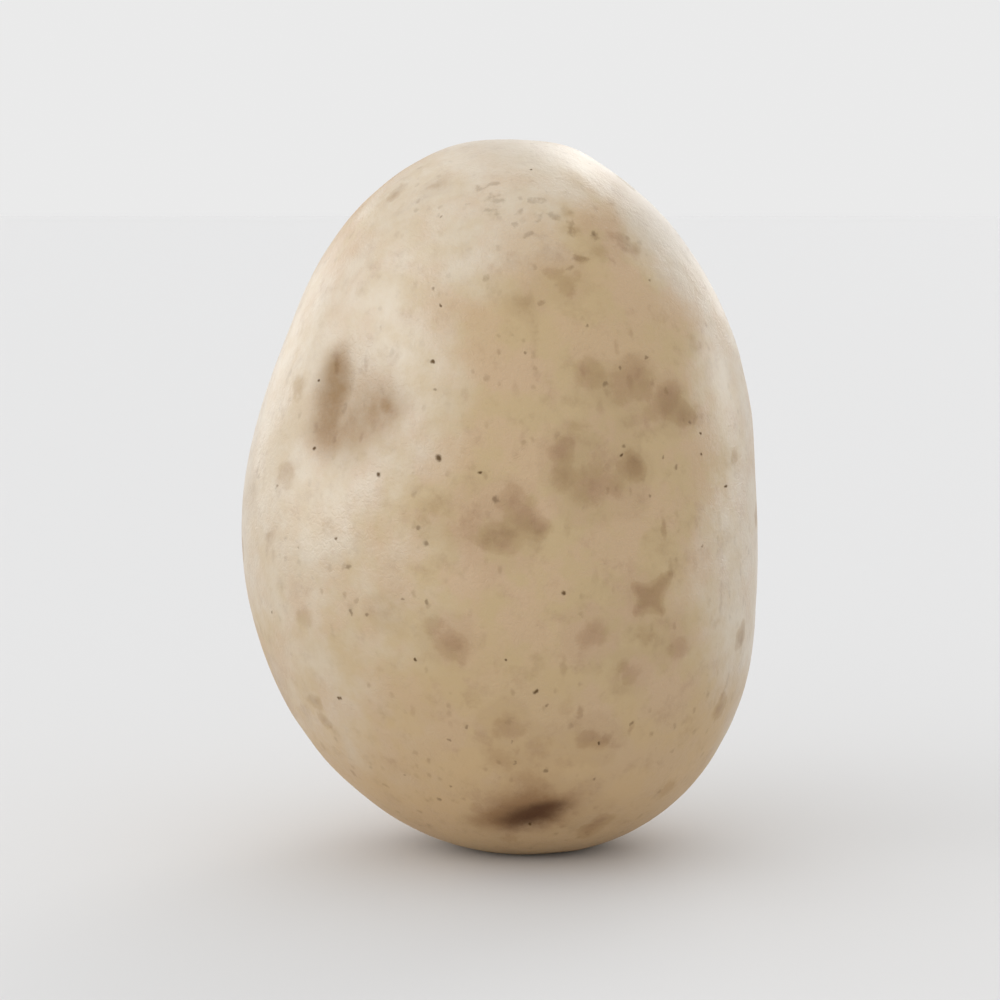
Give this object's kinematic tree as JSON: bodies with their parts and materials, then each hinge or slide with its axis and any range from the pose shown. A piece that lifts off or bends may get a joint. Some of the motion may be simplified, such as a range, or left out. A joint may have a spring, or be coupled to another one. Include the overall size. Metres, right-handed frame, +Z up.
{
  "type": "potato",
  "caption": "Whole unpeeled pale potato standing upright on a small flat at its heel, with shallow eyes, a stem scar and a gently uneven skin.",
  "frame": {"origin": "middle of the bounding box seen from above, at the level of the flat spot the potato stands on", "axes": "+Z up along the potato's long axis, from its heel to its crown; the front in the picture faces -Y and +X is on the viewer's right"},
  "size_m": [0.0696, 0.0614, 0.0953],
  "materials": {
    "skin": "thin satin skin, pale buff with brown stains, dark pores and fine netting"
  },
  "bodies": {
    "root": {"potato": "skin"}
  },
  "joints": []
}
